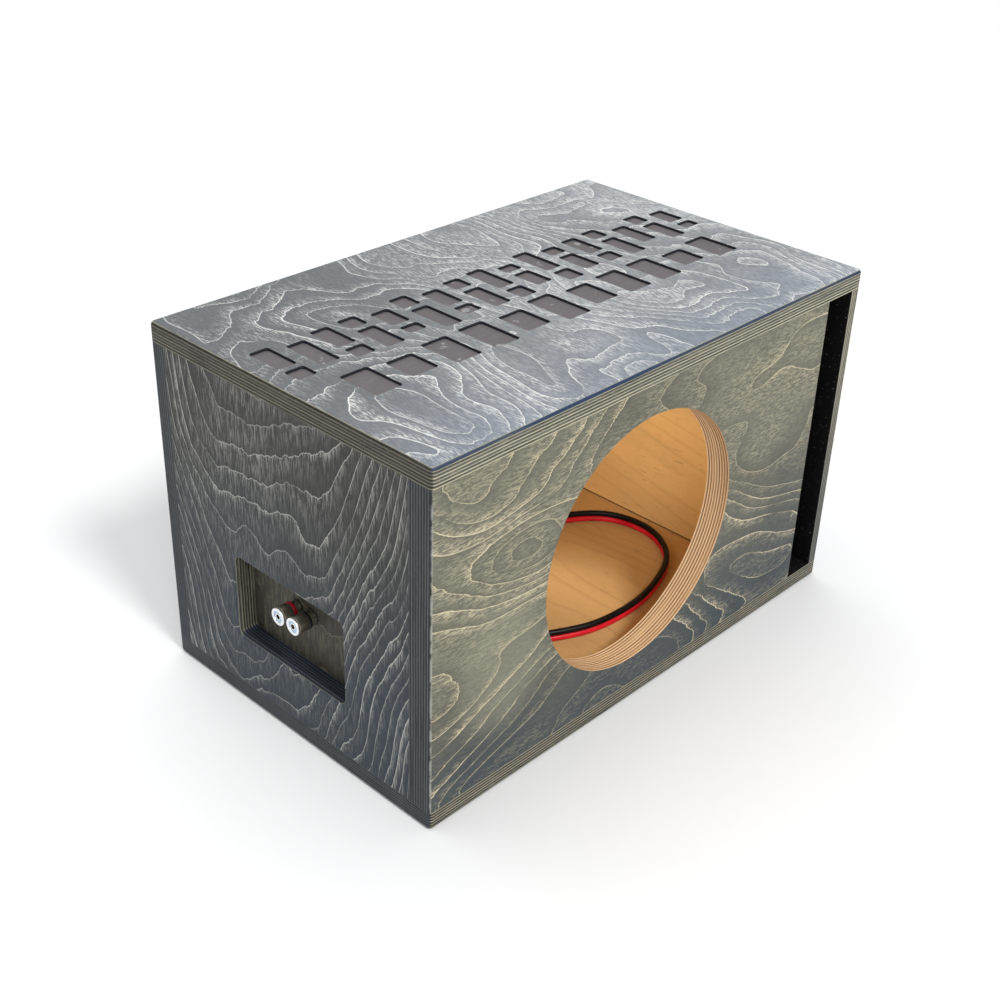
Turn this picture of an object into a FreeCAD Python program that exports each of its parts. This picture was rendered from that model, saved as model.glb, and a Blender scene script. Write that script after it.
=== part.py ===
import FreeCAD, Part
import math
import os
import re
import Sketcher

# A slot-ported subwoofer cabinet of glued birch plywood, with a recessed terminal board,
# a red and a black binding post and the speaker cable that waits inside for the driver.
#
# Row frame, in millimetres: the origin is the middle of the footprint, on the surface that the
# cabinet stands on. +X runs from the terminal end to the port end, the baffle faces -Y, +Z is up.

doc = FreeCAD.newDocument("subwoofer_cabinet")
sheet = doc.addObject("Spreadsheet::Sheet", "Dimensions")

DIMENSIONS = {
    # the box
    "cabinet_width": 537,
    "cabinet_depth": 332,
    "cabinet_height": 330,
    "sheet_thick": 18,
    "baffle_thick": 24,
    "side_thick": 12.5,
    "edge_round": 4,
    "slot_wide": 36.5,
    "slot_edge_round": 1,
    "return_long": 318,
    "cutout_radius": 119,
    # the ornament routed into the top: two rows of rounded level bars
    "routed_deep": 2.5,
    "router_radius": 3,
    "upper_row_y": 30,
    "upper_row_tall": 74,
    "upper_pitch": 30,
    "upper_bar_wide": 19,
    "lower_row_y": -38,
    "lower_row_tall": 50,
    "lower_pitch": 42,
    "lower_bar_wide": 28,
    "bridge_wide": 6,
    # the terminal recess and the board behind it
    "window_wide": 135,
    "window_tall": 78,
    "window_low": 69,
    "window_mid": 3,
    "window_corner": 5,
    "window_lip": 4,
    "board_thick": 12,
    "board_wide": 176,
    "board_tall": 118,
    # the binding posts, measured from the board's outer face
    "post_apart": 19.05,
    "post_high": 117,
    "insulator_thick": 1,
    "insulator_radius": 7.6,
    "collar_long": 5,
    "collar_radius": 7,
    "collar_bevel": 0.6,
    "ring_long": 3,
    "ring_radius": 8.1,
    "cap_long": 12,
    "cap_radius": 7.9,
    "cap_bevel": 0.8,
    "rim_radius": 5.4,
    "face_groove": 0.8,
    "boss_radius": 3.1,
    "mouth_radius": 2.2,
    "face_thick": 3.5,
    "shaft_long": 11,
    "shaft_radius": 3.5,
    "running_gap": 0.05,
    "socket_radius": 2,
    "socket_deep": 13,
    "wire_hole_radius": 1.7,
    "holding_hole_radius": 1.3,
    "shank_radius": 3,
    "shank_long": 26,
    "shank_hole_radius": 3.15,
    # the hardware behind the board
    "washer_radius": 7.5,
    "fibre_thick": 1.5,
    "steel_washer_thick": 1,
    "lug_thick": 0.8,
    "lug_radius": 5.5,
    "tongue_wide": 5,
    "crimp_radius": 2.6,
    "crimp_high": 9,
    "crimp_long": 8,
    "spring_washer_thick": 1.6,
    "spring_washer_radius": 5.2,
    "spring_washer_gap": 1.2,
    "nut_corner_radius": 5.77,
    "nut_long": 5,
    "sleeve_radius": 4.1,
    "sleeve_bore": 3.15,
    "sleeve_long": 13.5,
    # the speaker cable
    "wire_radius": 3.0,
    "core_radius": 1.2,
    "bare_long": 12,
}

for row, (alias, size) in enumerate(DIMENSIONS.items(), 1):
    sheet.set(f"A{row}", alias)
    sheet.set(f"B{row}", str(size))
    sheet.setAlias(f"B{row}", alias)
doc.recompute()

ALIAS = re.compile(r"\b(" + "|".join(DIMENSIONS) + r")\b")
ALONG_X = FreeCAD.Rotation(FreeCAD.Vector(0, 1, 0), 90)
UPRIGHT = FreeCAD.Rotation()
nodes = {}


def bound(expression):
    """An expression on the sheet's words, as FreeCAD reads it."""
    return ALIAS.sub(r"Dimensions.\1", f"({expression})")


def number(expression):
    return float(sheet.evalExpression(bound(expression)))


def bind(thing, **properties):
    """Each property follows its expression on the sheet."""
    for name, expression in properties.items():
        thing.setExpression(name, bound(expression))


def place(thing, x=0, y=0, z=0, turned=UPRIGHT):
    """Puts a thing where three expressions on the sheet say."""
    thing.Placement = FreeCAD.Placement(FreeCAD.Vector(), turned)
    for letter, expression in zip("xyz", (x, y, z)):
        thing.setExpression(f"Placement.Base.{letter}", bound(expression))


# ---- sketches and PartDesign features ----


def new_body(label, x=0, y=0, z=0):
    body = doc.addObject("PartDesign::Body", label)
    body.Label = label
    place(body, x, y, z)
    nodes[label] = body
    return body


def new_sketch(body, plane, lifted=0):
    """A sketch on one of the body's own origin planes, lifted along the plane's normal."""
    sketch = body.newObject("Sketcher::SketchObject", f"{body.Name}_sketch")
    origin_plane = next(f for f in body.Origin.OriginFeatures if f.Role == plane)
    sketch.AttachmentSupport = [(origin_plane, "")]
    sketch.MapMode = "FlatFace"
    sketch.setExpression("AttachmentOffset.Base.z", bound(lifted))
    return sketch


def hold(sketch, *dimensions):
    """Dimensions of a sketch, each a kind, the places it joins and its expression on the sheet."""
    held = [Sketcher.Constraint(*places, number(wanted)) for *places, wanted in dimensions]
    for index, (*_, wanted) in zip(sketch.addConstraint(held), dimensions):
        sketch.setExpression(f"Constraints[{index}]", bound(wanted))


def outline(sketch, corners):
    """A closed outline of straight edges through corners given as pairs of expressions."""
    points = [FreeCAD.Vector(number(x), number(y), 0) for x, y in corners]
    sides = [Part.LineSegment(a, b) for a, b in zip(points, points[1:] + points[:1])]
    first = sketch.GeometryCount
    sketch.addGeometry(sides)
    after = [first + (side + 1) % len(sides) for side in range(len(sides))]
    sketch.addConstraint(
        [Sketcher.Constraint("Coincident", first + i, 2, after[i], 1) for i in range(len(sides))]
    )
    across = [("DistanceX", -1, 1, first + i, 1, x) for i, (x, _) in enumerate(corners)]
    up = [("DistanceY", -1, 1, first + i, 1, y) for i, (_, y) in enumerate(corners)]
    hold(sketch, *across, *up)


def rectangle(sketch, left, low, wide, tall):
    right, high = f"({left}) + ({wide})", f"({low}) + ({tall})"
    outline(sketch, [(left, low), (right, low), (right, high), (left, high)])


def circle(sketch, x, y, radius):
    centre = FreeCAD.Vector(number(x), number(y), 0)
    index = sketch.addGeometry(Part.Circle(centre, FreeCAD.Vector(0, 0, 1), number(radius)))
    place_x, place_y = ("DistanceX", -1, 1, index, 3, x), ("DistanceY", -1, 1, index, 3, y)
    hold(sketch, place_x, place_y, ("Radius", index, radius))


def pad(body, sketch, length):
    feature = body.newObject("PartDesign::Pad", f"{body.Name}_pad")
    feature.Profile = sketch
    bind(feature, Length=length)
    return feature


def revolve(body, corners):
    """A turned piece: its half section, as (x, radius) pairs, spun about the body's X axis."""
    sketch = new_sketch(body, "XY_Plane")
    outline(sketch, corners)
    feature = body.newObject("PartDesign::Revolution", f"{body.Name}_turning")
    feature.Profile = sketch
    feature.ReferenceAxis = (sketch, ["H_Axis"])
    feature.Angle = 360
    return feature


def cut_pocket(body, sketch, length, both_ways=False):
    """A pocket that has to take material away, because one that points off the solid is silent."""
    doc.recompute()
    before = body.Shape.Volume
    feature = body.newObject("PartDesign::Pocket", f"{body.Name}_pocket")
    feature.Profile = sketch
    feature.Midplane = both_ways
    bind(feature, Length=length)
    doc.recompute()
    if not body.Shape.Volume < before - 1:
        raise RuntimeError(f"{feature.Name} cuts nothing")


def round_edges(body, radius, chosen):
    """Rounds the edges of the body's shape for which chosen says yes."""
    doc.recompute()
    base = body.Tip
    names = [f"Edge{i}" for i, edge in enumerate(base.Shape.Edges, 1) if chosen(edge)]
    if not names:
        raise RuntimeError(f"{body.Name} has no edge to round")
    feature = body.newObject("PartDesign::Fillet", f"{body.Name}_rounding")
    feature.Base = (base, names)
    bind(feature, Radius=radius)
    doc.recompute()


def lies_at(edge, x=None, y=None, z=None):
    """Whether all of an edge lies at the coordinates that are given, in the body's own frame."""
    box = edge.BoundBox
    spans = {"x": (box.XMin, box.XMax), "y": (box.YMin, box.YMax), "z": (box.ZMin, box.ZMax)}
    wanted = {"x": x, "y": y, "z": z}
    return all(
        abs(end - number(wanted[axis])) < 0.01
        for axis, span in spans.items()
        if wanted[axis] is not None
        for end in span
    )


# ---- the plywood box ----

INNER_HIGH = "cabinet_height - 2 * sheet_thick"
LEFT = "-cabinet_width / 2"
FRONT = "-cabinet_depth / 2"
CHAMBER_FRONT = f"{FRONT} + baffle_thick"
CHAMBER_BACK = "cabinet_depth / 2 - sheet_thick"
SLOT_RIGHT = "cabinet_width / 2 - side_thick"
SLOT_LEFT = f"{SLOT_RIGHT} - slot_wide"
BAFFLE_WIDE = f"{SLOT_LEFT} - ({LEFT})"


def flat_panel(label, z, outer_face):
    """The top or the bottom: a full-size sheet, rounded all round its outer face and corners."""
    body = new_body(label, LEFT, FRONT, z)
    sketch = new_sketch(body, "XY_Plane")
    rectangle(sketch, 0, 0, "cabinet_width", "cabinet_depth")
    pad(body, sketch, "sheet_thick")
    round_edges(
        body,
        "edge_round",
        lambda edge: lies_at(edge, z=outer_face) or edge.BoundBox.ZLength > 1,
    )
    return body


def bar_tall(row_tall, column, columns):
    """How tall a level bar of the ornament is: a wave that swells towards the middle."""
    swell = math.sin(math.pi * (column + 1) / (columns + 1))
    wave = abs(math.cos(1.9 * column))
    return f"{row_tall} * {round(0.42 + 0.2 * swell + 0.38 * wave, 3)}"


def routed_row(body, columns, row_y, row_tall, pitch, bar_wide):
    """One row of level bars, pocketed into the top; a tall bar is bridged, as a meter's steps."""
    sketch = new_sketch(body, "XY_Plane", "sheet_thick")
    for column in range(columns):
        tall = bar_tall(row_tall, column, columns)
        left = f"cabinet_width / 2 + {pitch} * {column - (columns - 1) / 2} - {bar_wide} / 2"
        low = f"cabinet_depth / 2 + {row_y} - ({tall}) / 2"
        if number(tall) < 2.4 * number(bar_wide):
            rectangle(sketch, left, low, bar_wide, tall)
            continue
        share = 0.66 if column % 2 else 0.34
        lower_tall = f"({tall}) * {share} - bridge_wide / 2"
        upper_tall = f"({tall}) * {1 - share} - bridge_wide / 2"
        rectangle(sketch, left, low, bar_wide, lower_tall)
        upper_low = f"{low} + {lower_tall} + bridge_wide"
        rectangle(sketch, left, upper_low, bar_wide, upper_tall)
    cut_pocket(body, sketch, "routed_deep")


def in_ornament(edge):
    """Whether an edge is an upright corner of a routed pocket, away from the panel's own edges."""
    box = edge.BoundBox
    upright = box.XLength < 0.01 and box.YLength < 0.01 and box.ZLength > 1
    return upright and 10 < box.YMin < number("cabinet_depth") - 10


def build_top_panel():
    body = flat_panel("top_panel", "cabinet_height - sheet_thick", "sheet_thick")
    routed_row(body, 17, "upper_row_y", "upper_row_tall", "upper_pitch", "upper_bar_wide")
    routed_row(body, 11, "lower_row_y", "lower_row_tall", "lower_pitch", "lower_bar_wide")
    round_edges(body, "router_radius", in_ornament)


def build_front_baffle():
    """Padded towards -Y from the chamber side, with the driver's cut-out in its middle."""
    body = new_body("front_baffle", LEFT, CHAMBER_FRONT, "sheet_thick")
    sketch = new_sketch(body, "XZ_Plane")
    rectangle(sketch, 0, 0, BAFFLE_WIDE, INNER_HIGH)
    circle(sketch, f"({BAFFLE_WIDE}) / 2", f"({INNER_HIGH}) / 2", "cutout_radius")
    pad(body, sketch, "baffle_thick")
    round_edges(body, "edge_round", lambda edge: lies_at(edge, x=0, y="-baffle_thick"))
    round_edges(
        body, "slot_edge_round", lambda edge: lies_at(edge, x=BAFFLE_WIDE, y="-baffle_thick")
    )


def build_back_panel():
    body = new_body("back_panel", LEFT, "cabinet_depth / 2", "sheet_thick")
    sketch = new_sketch(body, "XZ_Plane")
    rectangle(sketch, 0, 0, "cabinet_width - side_thick", INNER_HIGH)
    pad(body, sketch, "sheet_thick")
    round_edges(body, "edge_round", lambda edge: lies_at(edge, x=0, y=0))


def build_left_end_panel():
    """The terminal end, set in between baffle and back, with the window of the recess."""
    body = new_body("left_end_panel", LEFT, CHAMBER_FRONT, "sheet_thick")
    sketch = new_sketch(body, "YZ_Plane")
    rectangle(sketch, 0, 0, "cabinet_depth - baffle_thick - sheet_thick", INNER_HIGH)
    window_left = f"window_mid - window_wide / 2 - ({CHAMBER_FRONT})"
    rectangle(sketch, window_left, "window_low - sheet_thick", "window_wide", "window_tall")
    pad(body, sketch, "sheet_thick")

    def on_window(edge):
        middle = edge.CenterOfMass
        inner_y = 5 < middle.y < number("cabinet_depth - baffle_thick - sheet_thick") - 5
        return inner_y and 5 < middle.z < number(INNER_HIGH) - 5

    round_edges(
        body, "window_corner", lambda edge: on_window(edge) and edge.BoundBox.XLength > 1
    )
    round_edges(body, "window_lip", lambda edge: on_window(edge) and lies_at(edge, x=0))


def build_right_end_panel():
    """The outer wall of the slot port, from the front face to the rear face."""
    body = new_body("right_end_panel", SLOT_RIGHT, FRONT, "sheet_thick")
    sketch = new_sketch(body, "YZ_Plane")
    rectangle(sketch, 0, 0, "cabinet_depth", INNER_HIGH)
    pad(body, sketch, "side_thick")
    round_edges(
        body,
        "edge_round",
        lambda edge: lies_at(edge, x="side_thick", y=0)
        or lies_at(edge, x="side_thick", y="cabinet_depth"),
    )
    round_edges(body, "slot_edge_round", lambda edge: lies_at(edge, x=0, y=0))


def build_port_walls():
    """The slot runs back along the port end, turns the corner and opens behind the driver."""
    side_wall = new_body("port_wall", f"{SLOT_LEFT} - sheet_thick", CHAMBER_FRONT, "sheet_thick")
    sketch = new_sketch(side_wall, "YZ_Plane")
    rectangle(sketch, 0, 0, f"{CHAMBER_BACK} - slot_wide - ({CHAMBER_FRONT})", INNER_HIGH)
    pad(side_wall, sketch, "sheet_thick")

    rear_wall = new_body(
        "port_return_wall",
        f"{SLOT_LEFT} - sheet_thick - return_long",
        f"{CHAMBER_BACK} - slot_wide",
        "sheet_thick",
    )
    sketch = new_sketch(rear_wall, "XZ_Plane")
    rectangle(sketch, 0, 0, "return_long", INNER_HIGH)
    pad(rear_wall, sketch, "sheet_thick")


BOARD_FACE = f"{LEFT} + sheet_thick"
POST_Y = {
    "red": "(window_mid + post_apart / 2)",
    "black": "(window_mid - post_apart / 2)",
}


def build_terminal_board():
    """Glued behind the window, it closes the recess and carries the two posts."""
    low_y = "window_mid - board_wide / 2"
    low_z = "window_low + window_tall / 2 - board_tall / 2"
    body = new_body("terminal_board", BOARD_FACE, low_y, low_z)
    sketch = new_sketch(body, "YZ_Plane")
    rectangle(sketch, 0, 0, "board_wide", "board_tall")
    for post_y in POST_Y.values():
        hole_y, hole_z = f"{post_y} - ({low_y})", f"post_high - ({low_z})"
        circle(sketch, hole_y, hole_z, "shank_hole_radius")
    pad(body, sketch, "board_thick")


# ---- the binding posts, with x measured outwards (negative) from the board's outer face ----

COLLAR_END = "-(insulator_thick + collar_long)"
RING_END = f"{COLLAR_END} - ring_long"
CAP_END = f"{RING_END} - cap_long"
SHAFT_END = f"{COLLAR_END} - shaft_long"


def build_post_stud(colour):
    """One turned brass piece: collar, outer shaft with the banana socket, inner shank."""
    body = new_body(f"{colour}_post_stud", BOARD_FACE, POST_Y[colour], "post_high")
    socket_end = f"{SHAFT_END} + socket_deep"
    revolve(
        body,
        [
            ("shank_long", 0),
            ("shank_long", "shank_radius - 0.4"),
            ("shank_long - 0.4", "shank_radius"),
            ("-insulator_thick", "shank_radius"),
            ("-insulator_thick", "collar_radius"),
            (f"{COLLAR_END} + collar_bevel", "collar_radius"),
            (COLLAR_END, "collar_radius - collar_bevel"),
            (COLLAR_END, "shaft_radius"),
            (f"{SHAFT_END} + 0.3", "shaft_radius"),
            (SHAFT_END, "shaft_radius - 0.3"),
            (SHAFT_END, "socket_radius"),
            (socket_end, "socket_radius"),
            (f"{socket_end} + 0.8", 0),
        ],
    )
    wire_hole = new_sketch(body, "XZ_Plane")
    circle(wire_hole, f"{COLLAR_END} - wire_hole_radius - 0.2", 0, "wire_hole_radius")
    cut_pocket(body, wire_hole, "3 * shaft_radius", both_ways=True)
    holding_hole = new_sketch(body, "XY_Plane")
    holding_x = "-(insulator_thick + collar_long / 2)"
    circle(holding_hole, holding_x, 0, "holding_hole_radius")
    cut_pocket(body, holding_hole, "3 * collar_radius", both_ways=True)


def build_post_ring(colour):
    """The coloured clamp ring: it slides on the shaft, ahead of the cap, and pinches the wire."""
    body = new_body(f"{colour}_post_ring", BOARD_FACE, POST_Y[colour], "post_high")
    bore = "shaft_radius + running_gap"
    revolve(
        body,
        [
            (COLLAR_END, bore),
            (COLLAR_END, "ring_radius - 0.4"),
            (f"{COLLAR_END} - 0.4", "ring_radius"),
            (f"{RING_END} + 0.4", "ring_radius"),
            (RING_END, "ring_radius - 0.4"),
            (RING_END, bore),
        ],
    )


def build_post_cap(colour):
    """The screw cap: a metal barrel with a grooved face and the mouth of the banana socket."""
    body = new_body(f"{colour}_post_cap", BOARD_FACE, POST_Y[colour], "post_high")
    bore = "shaft_radius + running_gap"
    groove = f"{CAP_END} + face_groove"
    revolve(
        body,
        [
            (RING_END, bore),
            (RING_END, "cap_radius - 0.4"),
            (f"{RING_END} - 0.4", "cap_radius"),
            (f"{CAP_END} + cap_bevel", "cap_radius"),
            (CAP_END, "cap_radius - cap_bevel"),
            (CAP_END, "rim_radius"),
            (groove, "rim_radius - 0.3"),
            (groove, "boss_radius"),
            (f"{CAP_END} + 0.3", "boss_radius - 0.3"),
            (f"{CAP_END} + 0.3", "mouth_radius"),
            (f"{CAP_END} + face_thick", "mouth_radius"),
            (f"{CAP_END} + face_thick", bore),
        ],
    )


# ---- Part primitives for the small hardware ----


def cylinder(name, radius, length, x, y, z, turned=UPRIGHT):
    rod = doc.addObject("Part::Cylinder", name)
    bind(rod, Radius=radius, Height=length)
    place(rod, x, y, z, turned)
    return rod


def box(name, long, wide, tall, x, y, z):
    block = doc.addObject("Part::Box", name)
    bind(block, Length=long, Width=wide, Height=tall)
    place(block, x, y, z)
    return block


def cut(name, base, tool):
    result = doc.addObject("Part::Cut", name)
    result.Base, result.Tool = base, tool
    return result


def join(name, pieces):
    result = doc.addObject("Part::MultiFuse", name)
    result.Shapes = pieces
    return result


def group(label, pieces):
    """Like pieces that share one node, as separate solids."""
    result = doc.addObject("Part::Compound", label)
    result.Label = label
    result.Links = pieces
    nodes[label] = result


def washer(name, outer, bore, thick, x, y):
    """A ring on a post's axis that starts at x and runs inwards."""
    disc = cylinder(f"{name}_disc", outer, thick, x, y, "post_high", ALONG_X)
    hole = cylinder(f"{name}_hole", bore, f"{thick} + 2", f"{x} - 1", y, "post_high", ALONG_X)
    return cut(name, disc, hole)


FIBRE_X = f"{BOARD_FACE} + board_thick"
STEEL_X = f"{FIBRE_X} + fibre_thick"
LUG_X = f"{STEEL_X} + steel_washer_thick"
SPRING_X = f"{LUG_X} + lug_thick"
NUT_X = f"{SPRING_X} + spring_washer_thick"
BORE = "shank_hole_radius"


def build_washers():
    kinds = {
        "outer_insulators": ("insulator_radius", "insulator_thick", f"{BOARD_FACE} - insulator_thick"),
        "insulating_washers": ("washer_radius", "fibre_thick", FIBRE_X),
        "flat_washers": ("washer_radius - 0.5", "steel_washer_thick", STEEL_X),
    }
    for label, (outer, thick, x) in kinds.items():
        rings = [washer(f"{label}_{c}", outer, BORE, thick, x, y) for c, y in POST_Y.items()]
        group(label, rings)


def build_lock_washers():
    """Split spring washers, closed by the nuts, with the split at the top."""
    split = []
    for colour, post_y in POST_Y.items():
        name = f"lock_washer_{colour}"
        ring = washer(name, "spring_washer_radius", BORE, "spring_washer_thick", SPRING_X, post_y)
        slit = box(
            f"{name}_slit",
            "spring_washer_thick + 2",
            "spring_washer_gap",
            "spring_washer_radius + 1",
            f"{SPRING_X} - 1",
            f"{post_y} - spring_washer_gap / 2",
            "post_high",
        )
        split.append(cut(f"{name}_split", ring, slit))
    group("lock_washers", split)


def build_hex_nuts():
    nuts = []
    for colour, post_y in POST_Y.items():
        name = f"hex_nut_{colour}"
        prism = doc.addObject("Part::Prism", f"{name}_prism")
        prism.Polygon = 6
        bind(prism, Circumradius="nut_corner_radius", Height="nut_long")
        place(prism, NUT_X, post_y, "post_high", ALONG_X)
        bore = cylinder(
            f"{name}_bore", BORE, "nut_long + 2", f"{NUT_X} - 1", post_y, "post_high", ALONG_X
        )
        nuts.append(cut(name, prism, bore))
    group("hex_nuts", nuts)


def build_ring_terminal(colour):
    """A crimp lug: ring on the shank, tongue down the board, and the barrel that holds the core."""
    post_y = POST_Y[colour]
    name = f"{colour}_ring_terminal"
    ring = cylinder(f"{name}_ring", "lug_radius", "lug_thick", LUG_X, post_y, "post_high", ALONG_X)
    tongue = box(
        f"{name}_tongue",
        "lug_thick",
        "tongue_wide",
        "crimp_high - 3",
        LUG_X,
        f"{post_y} - tongue_wide / 2",
        "post_high - crimp_high - 1",
    )
    barrel = cylinder(
        f"{name}_barrel",
        "crimp_radius",
        "crimp_long",
        f"{LUG_X} + crimp_radius",
        post_y,
        "post_high - crimp_high - crimp_long",
    )
    whole = join(f"{name}_blank", [ring, tongue, barrel])
    hole = cylinder(
        f"{name}_hole", BORE, "lug_thick + 2", f"{LUG_X} - 1", post_y, "post_high", ALONG_X
    )
    terminal = cut(name, whole, hole)
    terminal.Label = name
    nodes[name] = terminal


def build_terminal_sleeve(colour):
    """The vinyl sleeve over the crimp and the first of the insulation."""
    name = f"{colour}_terminal_sleeve"
    x, y = f"{LUG_X} + crimp_radius", POST_Y[colour]
    low = "post_high - crimp_high - 1.1 - sleeve_long"
    skin = cylinder(f"{name}_skin", "sleeve_radius", "sleeve_long", x, y, low)
    bore = cylinder(f"{name}_bore", "sleeve_bore", "sleeve_long + 2", x, y, f"{low} - 1")
    sleeve = cut(name, skin, bore)
    sleeve.Label = name
    nodes[name] = sleeve


# ---- the speaker cable: two conductors, the black one lying on the red one ----

CRIMP_X = number(f"{LUG_X} + crimp_radius")
CRIMP_LOW = number("post_high - crimp_high - crimp_long")
RED_LIES = number("sheet_thick + wire_radius") + 0.1
BLACK_LIES = RED_LIES + number("2 * wire_radius") + 0.1

# Where both conductors run together on the cabinet's floor: along the back, round the loop
# under the cut-out and back along the baffle.
SHARED_ROUTE = [
    (-180, 30),
    (-142, 47),
    (-98, 63),
    (-46, 77),
    (8, 83),
    (62, 80),
    (110, 67),
    (156, 43),
    (176, 16),
    (180, -23),
    (163, -57),
    (138, -77),
    (94, -93),
    (56, -98.5),
    (12, -95),
    (-18, -83),
    (-49, -65),
    (-79, -49),
]

ROUTES = {
    "red": [
        (CRIMP_X, number(POST_Y["red"]), CRIMP_LOW),
        (CRIMP_X, number(POST_Y["red"]), 77),
        (-228, 14.5, 51),
        (-209, 20.5, 28),
    ]
    + [(x, y, RED_LIES) for x, y in SHARED_ROUTE]
    + [(-105, -43, RED_LIES)],
    "black": [
        (CRIMP_X, number(POST_Y["black"]), CRIMP_LOW),
        (CRIMP_X, number(POST_Y["black"]), 80),
        (-228, -2, 55),
        (-209, 12, 35),
    ]
    + [(x, y, BLACK_LIES) for x, y in SHARED_ROUTE[:-1]]
    + [(-73, -42, BLACK_LIES - 1.0), (-95, -26, RED_LIES + 0.3)],
}


def rounded_path(points):
    """Straight runs joined by tangent arcs, each as large as its two shorter runs allow."""
    points = [FreeCAD.Vector(*p) for p in points]
    edges, start, radii = [], points[0], []
    for before, corner, after in zip(points, points[1:], points[2:]):
        inward, outward = corner - before, after - corner
        half_turn = inward.getAngle(outward) / 2
        cut_back = 0.45 * min(inward.Length, outward.Length)
        radii.append(cut_back / math.tan(half_turn))
        towards, away = inward.normalize(), outward.normalize()
        arc_start, arc_end = corner - towards * cut_back, corner + away * cut_back
        bisector = (away - towards).normalize()
        reach = radii[-1] / math.cos(half_turn) - radii[-1]
        edges.append(Part.LineSegment(start, arc_start).toShape())
        edges.append(Part.Arc(arc_start, corner + bisector * reach, arc_end).toShape())
        start = arc_end
    edges.append(Part.LineSegment(start, points[-1]).toShape())
    return Part.Wire(edges), radii


def build_conductor(colour):
    """One insulated half of the cable, from its crimp to where its copper is bared."""
    points = ROUTES[colour]
    path, radii = rounded_path(points)
    radius = number("wire_radius")
    start = FreeCAD.Vector(*points[0])
    heading = FreeCAD.Vector(*points[1]) - start
    rim = Part.Wire(Part.makeCircle(radius, start, heading))
    tube = path.makePipeShell([rim], True, False)
    expected = math.pi * radius**2 * path.Length
    print(f"{colour} conductor: {path.Length:.0f} mm long, smallest bend {min(radii):.1f} mm,")
    print("  bends", [round(r) for r in radii])
    print(f"  volume {tube.Volume:.0f} mm3, section times length {expected:.0f} mm3")
    if abs(tube.Volume - expected) > 0.01 * expected:
        raise RuntimeError(f"the {colour} conductor is not a clean tube")
    conductor = doc.addObject("Part::Feature", f"{colour}_conductor")
    conductor.Label = f"{colour}_conductor"
    conductor.Shape = tube
    conductor.Placement = FreeCAD.Placement()
    nodes[conductor.Label] = conductor


def build_bare_end(colour):
    """The stripped copper at the conductor's free end, in line with its last run."""
    before, last = (FreeCAD.Vector(*p) for p in ROUTES[colour][-2:])
    core = doc.addObject("Part::Cylinder", f"{colour}_bare_end")
    core.Label = f"{colour}_bare_end"
    bind(core, Radius="core_radius", Height="bare_long")
    turned = FreeCAD.Rotation(FreeCAD.Vector(0, 0, 1), last - before)
    core.Placement = FreeCAD.Placement(last, turned)
    nodes[core.Label] = core


# ---- the whole cabinet ----


def check(document):
    """Every object has built, and every sub-part is a valid solid or group of solids."""
    for thing in document.Objects:
        if "Invalid" in thing.State or "Error" in thing.State:
            raise RuntimeError(f"{thing.Name} failed: {thing.State}")
    for label, thing in nodes.items():
        shape = thing.Shape
        if shape.isNull() or not shape.isValid() or not shape.Solids:
            raise RuntimeError(f"{label} has no valid solid")


def build():
    build_top_panel()
    flat_panel("bottom_panel", 0, 0)
    build_front_baffle()
    build_back_panel()
    build_left_end_panel()
    build_right_end_panel()
    build_port_walls()
    build_terminal_board()
    build_washers()
    build_lock_washers()
    build_hex_nuts()
    for colour in POST_Y:
        build_post_stud(colour)
        build_post_ring(colour)
        build_post_cap(colour)
        build_ring_terminal(colour)
        build_terminal_sleeve(colour)
        build_conductor(colour)
        build_bare_end(colour)
    doc.recompute()
    check(doc)
    os.makedirs("parts", exist_ok=True)
    for label, thing in nodes.items():
        thing.Shape.exportStep(f"parts/{label}.step")
    print(len(nodes), "sub-parts written")


build()
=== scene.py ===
import math

import bmesh
import bpy
from mathutils import Matrix, Vector


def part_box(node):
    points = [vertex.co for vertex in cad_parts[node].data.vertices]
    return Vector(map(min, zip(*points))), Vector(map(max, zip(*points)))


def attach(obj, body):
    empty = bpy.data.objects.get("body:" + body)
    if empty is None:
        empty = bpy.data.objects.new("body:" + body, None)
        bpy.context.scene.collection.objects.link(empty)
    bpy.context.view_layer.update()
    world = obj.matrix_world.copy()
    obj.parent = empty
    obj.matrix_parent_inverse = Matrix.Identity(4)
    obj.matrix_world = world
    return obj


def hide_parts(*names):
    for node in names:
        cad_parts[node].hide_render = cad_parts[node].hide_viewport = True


bl_info = {
    "name": "Slot-port subwoofer cabinet",
    "version": (1, 0, 0),
    "blender": (4, 5, 0),
    "location": "View3D > Sidebar > Cabinet",
    "description": "Stained plywood cabinet with screw-cap binding posts and speaker cable",
    "category": "Object",
}

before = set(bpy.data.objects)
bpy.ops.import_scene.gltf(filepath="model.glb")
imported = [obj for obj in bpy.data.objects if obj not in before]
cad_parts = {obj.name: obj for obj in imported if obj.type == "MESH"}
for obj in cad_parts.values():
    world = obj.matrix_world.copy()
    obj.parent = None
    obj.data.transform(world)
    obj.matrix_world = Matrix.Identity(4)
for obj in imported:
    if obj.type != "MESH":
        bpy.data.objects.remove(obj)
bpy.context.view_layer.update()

COLOURS = ("red", "black")
CABINET_LOW, CABINET_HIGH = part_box("top_panel")
TOP = CABINET_HIGH[2]
LEFT, RIGHT = CABINET_LOW[0], CABINET_HIGH[0]
FRONT, BACK = CABINET_LOW[1], CABINET_HIGH[1]
CUTOUT_X, CUTOUT_Z, CUTOUT_RADIUS = -0.0245, 0.165, 0.119
FILM_WIDTH = 36.0  # millimetres across the camera's frame
LOOKED_AT = (-0.0234, 0.0, 0.1333)
FLOOR_HALF = 9.0
SUN_DISK, WIDE_DISK = 14.0, 60.0  # how wide the key and the overhead light look, in degrees
SURROUND_WHITE = 1.04  # the surround's level where it is seen past the floor
PAINT_BLUR = 0.0004  # half the width of the paint's edge in the port
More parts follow.
